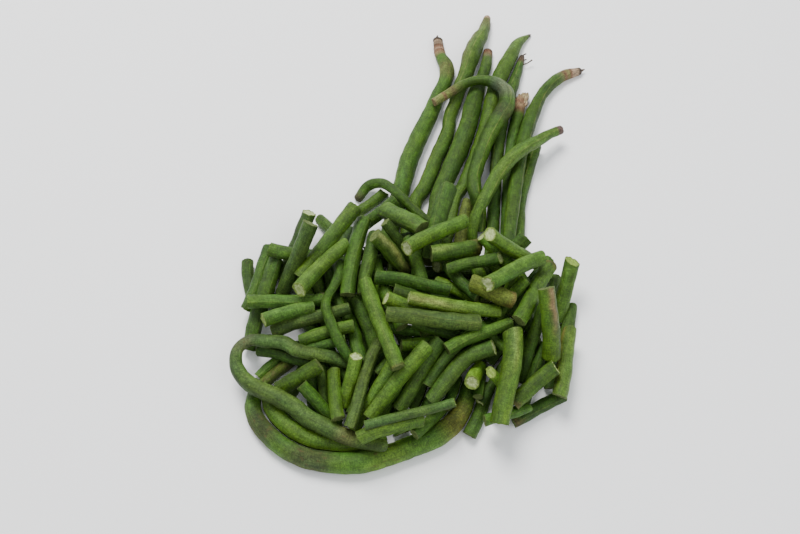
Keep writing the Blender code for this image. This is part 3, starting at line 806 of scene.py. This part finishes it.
def frames_along(line):
    """Two directions across the line at each point, carried along it without twisting."""
    ahead = np.gradient(line, axis=0)
    ahead /= np.linalg.norm(ahead, axis=1)[:, None]
    side = np.cross(ahead[0], (0, 0, 1))
    if np.linalg.norm(side) < 0.1:
        side = np.cross(ahead[0], (1, 0, 0))
    sides = []
    for way in ahead:
        side = side - way * (side @ way)
        side /= np.linalg.norm(side)
        sides.append(side)
    sides = np.array(sides)
    return ahead, sides, np.cross(ahead, sides)


def end_looks(bean):
    """Shape, paleness, turn and pith of the bean's two ends."""
    if bean.name in LONG_ENDS:
        return LONG_ENDS[bean.name]
    return tuple(("cut", *PALE_ENDS.get(key, DULL_END)) for key in keys_of(bean))


def far_colours(bean, where, colour):
    """The skin colour along the bean with its dry far end, and how dry it is."""
    colours = np.tile(colour, (len(where), 1))
    dry = np.zeros(len(where))
    stops = FAR_COLOURS.get(bean.name)
    if stops:
        at = [stop[0] for stop in stops]
        tints = np.array([colour if stop[1] is None else stop[1] for stop in stops])
        if bean.name == "sepal":
            tints = tints * np.mean(colour) / SEPAL_SHADE
        parts = [0.0 if stop[1] is None else 1.0 for stop in stops]
        dry = np.interp(where, at, parts)
        colours = np.stack([np.interp(where, at, tints[:, k]) for k in range(3)], axis=1)
    if bean.name in PALE_TIPS:
        pale = (1 - dry) * smooth_step(1 - where / PALE_TIPS[bean.name])
        colours *= 1 + pale[:, None] * (np.array(PALE_TIP_SHADE) - 1)
    return colours, dry


def keys_of(bean):
    """What the tables of looks call the two ends of a cut length, or a long bean by its name."""
    if bean.rows is None or bean.name != "cuts":
        return bean.name, None
    return tuple((int(row[0]), int(row[1])) for row in bean.rows)


def painted_sides(bean, rng, colours, angle, from_ends, dry):
    """The colour of every point: lighter and darker sides, stripes with a painted highlight among them, and
    browned ends.
    """
    light = 1 + 0.16 * np.cos(angle + rng.uniform(0, 6)) + 0.10 * np.cos(2 * angle + rng.uniform(0, 6))
    light = 1 + (light - 1) * (1 - dry)[:, None]
    tinted = colours[:, None] * light[:, :, None]
    keys = keys_of(bean)
    # Stripes; the light green one at (512, 335) is a painted highlight along the bean's top.
    if keys[0] in STRIPES_AND_HIGHLIGHTS:
        tint, half, place, reach = STRIPES_AND_HIGHLIGHTS[keys[0]]
        aside = np.angle(np.exp(1j * (angle + math.pi / 2 - place)))
        wander = 0.25 * ripple(rng, from_ends[0], 3, 30, 8)[:, None]
        share = np.exp(-(((aside + wander) / half) ** 2))
        length = from_ends[0][-1] * reach
        share *= smooth_step(1.5 * (1 - from_ends[0] / length))[:, None] * (1 - dry)[:, None]
        tinted = tinted + STRIPE_AND_HIGHLIGHT_COVER * share[:, :, None] * (np.array(tint) - tinted)
    for key, away in zip(keys, from_ends):
        if key in BROWNED:
            edge = BROWNED[key] * (1 + 0.35 * np.cos(3 * angle + 1) + 0.2 * np.cos(5 * angle))
            share = smooth_step(1.2 * (1 - away[:, None] / edge))
            tinted = tinted + BROWNED_COVER * share[:, :, None] * (np.array(BROWNED_COLOUR) - tinted)
    return tinted


def fine_line(bean, rng):
    """The bean's middle line and radii at every ring, and the rings' distances along it."""
    points = with_ends(bean)
    at = along(points)
    where = np.linspace(0, at[-1], int(at[-1] / RING_GAP) + 6)
    rows = np.column_stack([points, bean.radii])
    if len(points) == 2:
        part = where / at[-1]
        rows = rows[0] + part[:, None] * (rows[1] - rows[0])
        lean = np.cross(points[1] - points[0], (0, 0, 1))
        bow = (4 * part * (1 - part) - 0.5) * BOW * rng.uniform(-1, 1)
        bow = bow + np.sin(2 * math.pi * part) * SWAY * rng.uniform(-1, 1)
        rows[:, :3] += bow[:, None] * lean
        rows[:, 3] *= 1 + rng.uniform(-TAPER, TAPER) * (part - 0.5) * 2
    else:
        rows = curve_through(rows, at, where)
    return rows[:, :3], np.maximum(rows[:, 3], LEAST_RADIUS), where


def widths(rng, radii, turn, where, worn, flat):
    """The radius at every point: seeds, sags, seams, wrinkles, and rounds pressed to ovals."""
    pitch = SEED_PITCH * rng.uniform(0.85, 1.2)
    swell = ripple(rng, where, 2, 60, 30) * 0.35 + 0.8
    seeds = np.cos(2 * math.pi * where / pitch + rng.uniform(0, 6) + 0.8 * ripple(rng, where, 2, 50, 25))
    from_ends = where, where[-1] - where
    calm = smooth_step(np.minimum(*from_ends) / END_FADE)
    sag = 1 + SAG * ripple(rng, where, 4, 45, 8)
    lateral = np.abs(np.sin(turn)) ** 1.5
    bulge = (SEED_SWELL * swell * seeds * calm)[:, None] * (0.35 + 0.65 * lateral)
    seam = SEAM_RISE * (np.exp(-((np.sin(turn) / SEAM_HALF) ** 2)))
    folds = 3 * turn + 3 * ripple(rng, where, 3, 30, 9)[:, None]
    wrinkle = WRINKLE * (worn + 0.4) * np.sin(folds) + FINE_WRINKLE * np.sin(7 * turn + 2 * folds)
    oval = rng.uniform(0.01, 0.06) + 0.02 * ripple(rng, where, 2, 50, 20)
    for away in from_ends:
        oval = oval + rng.uniform(-0.02, 0.08) * smooth_step(1 - away / 9)
    oval = np.maximum(oval, flat)[:, None]
    oval = 1 - 0.6 * oval + oval * np.cos(2 * turn)
    return radii[:, None] * (sag[:, None] * oval + bulge + seam + wrinkle - 0.005)


def slanted(rng, offset, out, away, last, pale, toward):
    """The rings with one end face turned to the view by this many degrees, and its rim torn."""
    lean = VIEW_WAY - out * (VIEW_WAY @ out)
    lean /= max(np.linalg.norm(lean), 1e-6)
    lean = lean + 0.35 * rng.uniform(-1, 1) * np.cross(out, lean)
    near = smooth_step(1 - away / END_FADE)
    angle_out = math.radians(toward + rng.uniform(-5, 5))
    back = -math.tan(angle_out) * (offset @ lean) * near[:, None]
    offset = offset + back[:, :, None] * out
    torn = ragged(rng, 0.18 + 0.3 * pale * rng.uniform(0, 1))
    offset[last] += torn[:, None] * out
    return offset


def cap(rng, look, middle, rim, out, radius, layers):
    """The rings that close one end, with the painted layers of each."""
    shape, pale, _, green = look
    grain, tinted, wear = layers
    profile = {"cut": CUT_FACE, "round": ROUND_END, "point": POINT_END}[shape]
    rings, grains, depth = [], [], []
    for narrow, rise in profile:
        rough = 0.07 * rng.uniform(-1, 1, SIDES) * (shape == "cut")
        lift = rise * (1 if shape == "cut" else radius)
        rings.append(middle + rim * narrow + (lift + rough)[:, None] * out)
        grains.append(grain * (narrow, narrow, 1))
        depth.append(1.25 - narrow if shape == "cut" else 0.0)
    shown = len(profile), SIDES, 3
    cuts = np.zeros(shown)
    cuts[:, :, 0] = np.array(depth)[:, None]
    cuts[:, :, 1:] = pale, green
    painted = np.broadcast_to(tinted, shown), np.broadcast_to(wear, shown)
    return np.array(rings), np.array(grains), *painted, cuts


def tube_faces(total):
    """Quads between the rings and triangles to the two tips, whose points follow the rings."""
    sides = [(i, (i + 1) % SIDES) for i in range(SIDES)]
    top = (total - 1) * SIDES
    faces = [(a + i, a + j, a + SIDES + j, a + SIDES + i) for a in range(0, top, SIDES) for i, j in sides]
    for i, j in sides:
        faces += [(j, i, total * SIDES), (top + i, top + j, total * SIDES + 1)]
    return faces


def add_bean(skin, bean, rng, flat=0.0):
    """One bean with its seeds, seams, bow, stains, a painted highlight patch on some, and two ends."""
    line, radii, where = fine_line(bean, rng)
    from_ends = where, where[-1] - where
    ends = end_looks(bean)
    colour = np.array(SKIN_COLOURS[bean.tone]) * rng.uniform(0.84, 1.16)
    colour = colour * (rng.uniform(0.92, 1.08), 1, rng.uniform(0.85, 1.2)) * SHADES.get(bean.name, 1)
    worn = np.clip(WORN[bean.tone] + rng.uniform(-0.15, 0.3), 0, 1)
    skin_id = rng.uniform(0, 900)

    ahead, across, over = frames_along(line)
    turn = np.linspace(0, 2 * math.pi, SIDES, endpoint=False)
    roll = rng.uniform(0, 2 * math.pi) if len(bean.points) == 2 else rng.uniform(-0.5, 0.5)
    if bean.name in SEAM_SHOWS:
        roll -= math.pi / 2
    angle = turn + (roll + where * rng.uniform(-0.01, 0.01))[:, None]
    width = widths(rng, radii, turn, where, worn, flat)

    colours, dry = far_colours(bean, where, colour)
    if bean.name == "left_long_bean":
        width *= 1 + STEM_RING_DEPTH * (dry * np.cos(2 * math.pi * where / STEM_RING_PITCH))[:, None]
    stain_and_highlight_wear = np.full(len(where), worn)
    # Stains, and on the outer front bean a light green patch that is a painted highlight.
    for middle, half, tint in STAINS_AND_HIGHLIGHTS.get(bean.name, ()):
        share = smooth_step(1.3 * (1 - np.abs(where / where[-1] - middle) / half)) * (1 - dry)
        colours += (STAIN_AND_HIGHLIGHT_COVER * share)[:, None] * (np.array(tint) - colours)
        stain_and_highlight_wear = np.maximum(stain_and_highlight_wear, share * 0.9)

    offset = (width * np.cos(angle))[:, :, None] * across[:, None]
    offset = offset + (width * np.sin(angle))[:, :, None] * over[:, None]
    cuts = np.zeros((*width.shape, 3))
    outs = -ahead[0], ahead[-1]
    for last, out, away, (shape, pale, toward, green) in zip((0, -1), outs, from_ends, ends):
        if shape == "cut":
            offset = slanted(rng, offset, out, away, last, pale, toward)
            cuts[last] = RIM_LIGHT, pale, green
    ring = line[:, None] + offset
    stretch = np.broadcast_to(where[:, None] + skin_id, width.shape)
    grain = np.stack([width * np.cos(turn), width * np.sin(turn), stretch], axis=2)
    wear = np.empty(cuts.shape)
    wear[:, :, 0] = dry[:, None]
    wear[:, :, 1] = stain_and_highlight_wear[:, None]
    wear[:, :, 2] = 1.0 if bean.name in SEAM_SHOWS else FAINT_SEAM
    tinted = painted_sides(bean, rng, colours, angle, from_ends, dry)

    first, second = (
        cap(rng, look, line[last], offset[last], out, radii[last], (grain[last], tinted[last], wear[last]))
        for last, out, look in zip((0, -1), outs, ends)
    )
    layers = []
    for start, body, end in zip(first, (ring, grain, tinted, wear, cuts), second):
        tips = np.stack([start[-1].mean(axis=0), end[-1].mean(axis=0)])
        layers.append(np.concatenate([
            start[::-1].reshape(-1, 3), body.reshape(-1, 3), end.reshape(-1, 3), tips]))
    skin.add(layers[0], tube_faces((len(layers[0]) - 2) // SIDES), *layers[1:])


class Nodes:
    """Makes shader nodes and joins them with few words."""

    def __init__(self, material):
        material.use_nodes = True
        self.tree = material.node_tree
        self.shader = self.tree.nodes["Principled BSDF"]

    def put(self, target, value):
        if isinstance(value, bpy.types.NodeSocket):
            self.tree.links.new(value, target)
        else:
            target.default_value = value

    def add(self, kind, inputs, out=0, **settings):
        """A node with these inputs, values or sockets, by number or name. Returns one of its outputs."""
        node = self.tree.nodes.new(f"ShaderNode{kind}")
        for key, value in settings.items():
            setattr(node, key, value)
        for key, value in inputs.items():
            self.put(node.inputs[key], value)
        return node.outputs[out]

    def painted(self, name):
        return self.add("Attribute", {}, 1, attribute_name=name)

    def maths(self, operation, *values):
        return self.add("Math", dict(enumerate(values)), operation=operation)

    def mix(self, part, one, two):
        return self.add("Mix", {0: part, 6: one, 7: two}, 2, data_type="RGBA")

    def range(self, *values):
        """The value moved smoothly from its range to another: value, low, high, and the new low and high."""
        return self.add("MapRange", dict(enumerate(values)), interpolation_type="SMOOTHSTEP")

    def noise(self, vector, scale, detail, rough):
        return self.add("TexNoise", {"Vector": vector, "Scale": scale, "Detail": detail, "Roughness": rough})

    def times(self, vector, scales):
        return self.add("VectorMath", {0: vector, 1: scales}, operation="MULTIPLY")

    def scaled(self, vector, size):
        return self.add("VectorMath", {0: vector, "Scale": size}, operation="SCALE")

    def parts(self, vector):
        return self.add("SeparateXYZ", {0: vector}).node.outputs


def bean_material(name):
    """Waxy green skin with seams, streaks and brown spots, dry ends, and pale spongy cut faces."""
    material = bpy.data.materials.new(name)
    n = Nodes(material)
    grain, colour, wear, cut = (n.painted(title) for title in Skin.LAYERS)
    dry, worn, seamed = n.parts(wear)
    depth, pale, fresh = n.parts(cut)

    long_streaks = n.noise(n.times(grain, (1, 1, 0.1)), 1.3, 3.0, 0.6)
    mottle = n.noise(n.times(grain, (1, 1, 0.5)), 0.3, 4.0, 0.65)
    rings = n.noise(n.times(grain, (0.4, 0.4, 1.3)), 0.9, 4.0, 0.65)
    fine = n.noise(n.times(grain, (1, 1, 0.7)), 2.4, 5.0, 0.7)
    shade = n.range(mottle, 0.32, 0.68, 0.74, 1.28)
    shade = n.maths("MULTIPLY", shade, n.range(long_streaks, 0.34, 0.66, 0.87, 1.14))
    shade = n.maths("MULTIPLY", shade, n.range(rings, 0.35, 0.65, 0.80, 1.20))
    shade = n.maths("MULTIPLY", shade, n.range(fine, 0.36, 0.64, 0.60, 1.46))
    skin = n.scaled(colour, shade)
    hue = n.noise(n.times(grain, (1, 1, 0.35)), 0.16, 3.0, 0.5)
    skin = n.mix(n.range(hue, 0.45, 0.7, 0.0, 0.6), skin, n.times(skin, (1.25, 1.08, 0.95)))
    skin = n.mix(n.range(hue, 0.5, 0.3, 0.0, 0.6), skin, n.times(skin, (0.8, 0.92, 1.25)))

    seam = n.maths("ABSOLUTE", n.parts(grain)[1])
    seam_line = n.range(seam, 0.1, 0.42, 1.0, 0.0)
    seam_part = n.maths("MULTIPLY", seam_line, n.range(mottle, 0.38, 0.62, 0.05, 0.6))
    skin = n.mix(n.maths("MULTIPLY", seam_part, seamed), skin, SEAM_COLOUR)

    blotch = n.noise(n.times(grain, (1, 1, 0.6)), 0.42, 5.0, 0.65)
    low = n.maths("MULTIPLY_ADD", worn, -0.26, 0.77)
    blotch_part = n.range(blotch, low, n.maths("ADD", low, 0.12))
    skin = n.mix(n.maths("MULTIPLY", blotch_part, 0.6), skin, BLOTCH_COLOUR)
    spots = n.add("TexVoronoi", {"Vector": n.times(grain, (1, 1, 0.5)), "Scale": 0.4})
    spot_part = n.maths("MULTIPLY", n.range(spots, 0.05, 0.17, 1.0, 0.0), n.range(blotch, 0.42, 0.55))
    skin = n.mix(n.maths("MULTIPLY", spot_part, 0.55), skin, SPOT_COLOUR)

    fibre = n.noise(n.times(grain, (1.6, 1.6, 0.35)), 1.5, 5.0, 0.7)
    dried = n.scaled(colour, n.range(fibre, 0.32, 0.68, 0.35, 1.75))
    dry_part = n.range(n.maths("MULTIPLY_ADD", fibre, 0.6, n.maths("SUBTRACT", dry, 0.3)), 0.2, 0.6)
    skin = n.mix(dry_part, skin, dried)

    pith_noise = n.noise(grain, 1.5, 5.0, 0.7)
    patches = n.noise(grain, 0.55, 2.0, 0.5)
    inward = n.maths("MULTIPLY_ADD", n.maths("SUBTRACT", patches, 0.5), 0.9, depth)
    spongy = n.mix(n.range(pith_noise, 0.35, 0.65), *PITH)
    lush = n.mix(n.range(pith_noise, 0.35, 0.65), *FRESH_PITH)
    green = n.mix(n.range(pith_noise, 0.3, 0.7), *RIND)
    flesh = n.mix(n.range(inward, 0.36, 0.66), green, n.mix(fresh, spongy, lush))
    hollow = n.maths("MULTIPLY", n.range(inward, 0.9, 1.1), n.range(pith_noise, 0.42, 0.58))
    flesh = n.mix(n.maths("MULTIPLY", hollow, 0.55), flesh, HOLLOW_COLOUR)
    dull = n.mix(n.range(pith_noise, 0.3, 0.7), *DULL_FLESH)
    flesh = n.mix(n.range(pale, 0.1, 0.85), dull, flesh)
    flesh = n.mix(n.maths("MULTIPLY", dry, 0.85), flesh, dried)
    cut_part = n.range(depth, 0.08, 0.3)
    n.put(n.shader.inputs["Base Color"], n.mix(cut_part, skin, flesh))

    rough = n.range(fine, 0.3, 0.7, 0.40, 0.54)
    rough = n.maths("ADD", rough, n.maths("MULTIPLY", n.maths("MAXIMUM", dry, worn), 0.16))
    n.put(n.shader.inputs["Roughness"], n.maths("MULTIPLY_ADD", cut_part, 0.2, rough))
    n.shader.inputs["Specular IOR Level"].default_value = SKIN_SPECULAR

    creases = n.noise(n.times(grain, (1, 1, 0.16)), 1.1, 4.0, 0.6)
    pebble = n.noise(grain, 2.6, 4.0, 0.6)
    height = n.maths("MULTIPLY", creases, n.maths("MULTIPLY_ADD", worn, 0.8, 0.4))
    dry_fibre = n.maths("MULTIPLY", fibre, dry)
    cut_pith = n.maths("MULTIPLY", pith_noise, cut_part)
    for relief, share in ((pebble, 0.35), (rings, 0.5), (dry_fibre, 1.6), (cut_pith, 1.4), (seam_line, 0.15)):
        height = n.maths("MULTIPLY_ADD", relief, share, height)
    bump = n.add("Bump", {"Strength": 0.85, "Distance": BUMP_DEPTH, "Height": height})
    n.put(n.shader.inputs["Normal"], bump)
    return material


# Radii along the threads, nibs and sepals, in mm.
THREAD_RADII = (0.4, 0.3, 0.25, 0.2)
NIB_RADII = (1.4, 1.1, 0.7, 0.4)
SEPALS = 14
SEPAL_RADII = (1.0, 1.7, 1.5, 0.5)
SEPAL_FLATNESS = 0.6


def add_slip(skin, rng, name, start, way, length, radii, flat=0.0):
    """A thread or a dry sepal: a thin bean that wanders off in this direction."""
    steps = np.linspace(0, 1, len(radii))
    way = np.array(way, float) / np.linalg.norm(way)
    side = np.cross(way, (0, 0, 1))
    bend = np.sin(steps * rng.uniform(2, 4)) * rng.uniform(-0.2, 0.2)
    rows = np.array(start) + length * (steps[:, None] * way + bend[:, None] * side)
    add_bean(skin, Bean(name, "brown", None, rows, np.array(radii)), rng, flat)


def add_far_growth(skin, bean, rng):
    """The threads on the thin bean, the nibs on two stems and the papery sepals on the withered bean."""
    end, inner = with_ends(bean)[:2]
    out = (end - inner) / np.linalg.norm(end - inner)
    if bean.name == "thin_long_bean":
        add_slip(skin, rng, "thread", end - 7 * out, (1.0, 0.45, 0.25), 8.5, (0.45, 0.4, 0.35, 0.5))
        add_slip(skin, rng, "thread", end - out, (0.5, 0.5, 0.3), 4.5, THREAD_RADII)
        add_slip(skin, rng, "thread", end - 3 * out, (0.9, 0.1, 0.3), 3.5, THREAD_RADII)
    if bean.name in ("left_long_bean", "bent_long_bean"):
        add_slip(skin, rng, "thread", end + 0.6 * out, out + (0, 0, 0.2), 3.4, NIB_RADII)
    if bean.name == "withered_long_bean":
        for k in range(SEPALS):
            turn = 1.1 * k
            spread = np.array([math.cos(turn), 0.4 * math.sin(turn), 0.55 * math.sin(turn + 1)])
            start = end - rng.uniform(2.0, 13.0) * out + 2.1 * spread
            way = out + rng.uniform(0.0, 0.4) * spread
            wide = rng.uniform(0.8, 1.2)
            radii = wide * np.array(SEPAL_RADII)
            add_slip(skin, rng, "sepal", start, way, rng.uniform(4, 8), radii, SEPAL_FLATNESS)


def stand_pieces():
    """One piece for each CAD node, in the same order and with the same names."""
    number = dict.fromkeys(MOST_JOINED, 0)
    for index, group in enumerate(laid_groups()):
        name = group[0].name
        if name in number:
            number[name] += 1
            name = f"{name}_{number[name]:02d}"
        rng = np.random.default_rng(100 + index)
        skin = Skin()
        for bean in group:
            add_bean(skin, bean, rng)
            add_far_growth(skin, bean, rng)
        piece = skin.build(f"{name}_look")
        piece.data.materials.append(bean_material(f"{name}_skin"))
        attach(piece, "root")
        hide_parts(name)


FLOOR_HALF = 3.0
FLOOR_COLOUR = (0.92, 0.925, 0.93, 1)
ROOM_COLOUR = (0.95, 0.97, 1.0, 1)
ROOM_STRENGTH = 0.79

# Round lamps that face the middle of the floor: name, place, size, power and colour.
LAMPS = (
    ("window", (-0.35, 0.7, 1.35), 0.8, 36, (1.0, 0.99, 0.97)),
    ("fill", (0.8, -0.5, 1.1), 1.2, 8, (0.96, 0.98, 1.0)),
)
SENSOR_WIDTH = 36


def lay_floor():
    mesh = bpy.data.meshes.new("floor")
    low, high = -FLOOR_HALF, FLOOR_HALF
    mesh.from_pydata([(low, low, 0), (high, low, 0), (high, high, 0), (low, high, 0)], [], [(0, 1, 2, 3)])
    floor = stand("floor", mesh)
    material = bpy.data.materials.new("floor")
    n = Nodes(material)
    n.shader.inputs["Base Color"].default_value = FLOOR_COLOUR
    n.shader.inputs["Roughness"].default_value = 0.75
    mesh.materials.append(material)


def add_light(name, place, size, power, colour):
    lamp = bpy.data.lights.new(name, "AREA")
    lamp.shape = "DISK"
    lamp.size = size
    lamp.energy = power
    lamp.color = colour
    holder = stand(name, lamp)
    holder.location = place
    holder.rotation_euler = (math.atan2(math.hypot(*place[:2]), place[2]), 0, math.atan2(place[0], -place[1]))


def light_and_camera():
    world = bpy.data.worlds.new("soft_room")
    world.use_nodes = True
    room = world.node_tree.nodes["Background"].inputs
    room["Color"].default_value = ROOM_COLOUR
    room["Strength"].default_value = ROOM_STRENGTH
    bpy.context.scene.world = world
    for lamp in LAMPS:
        add_light(*lamp)
    camera = bpy.data.cameras.new("camera")
    camera.sensor_width = SENSOR_WIDTH
    camera.lens = SENSOR_WIDTH * VIEW_FOCAL / (2 * VIEW_CENTRE[0])
    camera.clip_start = 0.01
    holder = stand("camera", camera)
    holder.location = (
        -PLAN_CENTRE[0] * MM,
        (-VIEW_REACH * math.cos(VIEW_RISE) - PLAN_CENTRE[1]) * MM,
        (AIM_HEIGHT + VIEW_REACH * math.sin(VIEW_RISE)) * MM,
    )
    holder.rotation_euler = (math.pi / 2 - VIEW_RISE, 0, 0)
    bpy.context.scene.camera = holder


stand_pieces()
lay_floor()
light_and_camera()
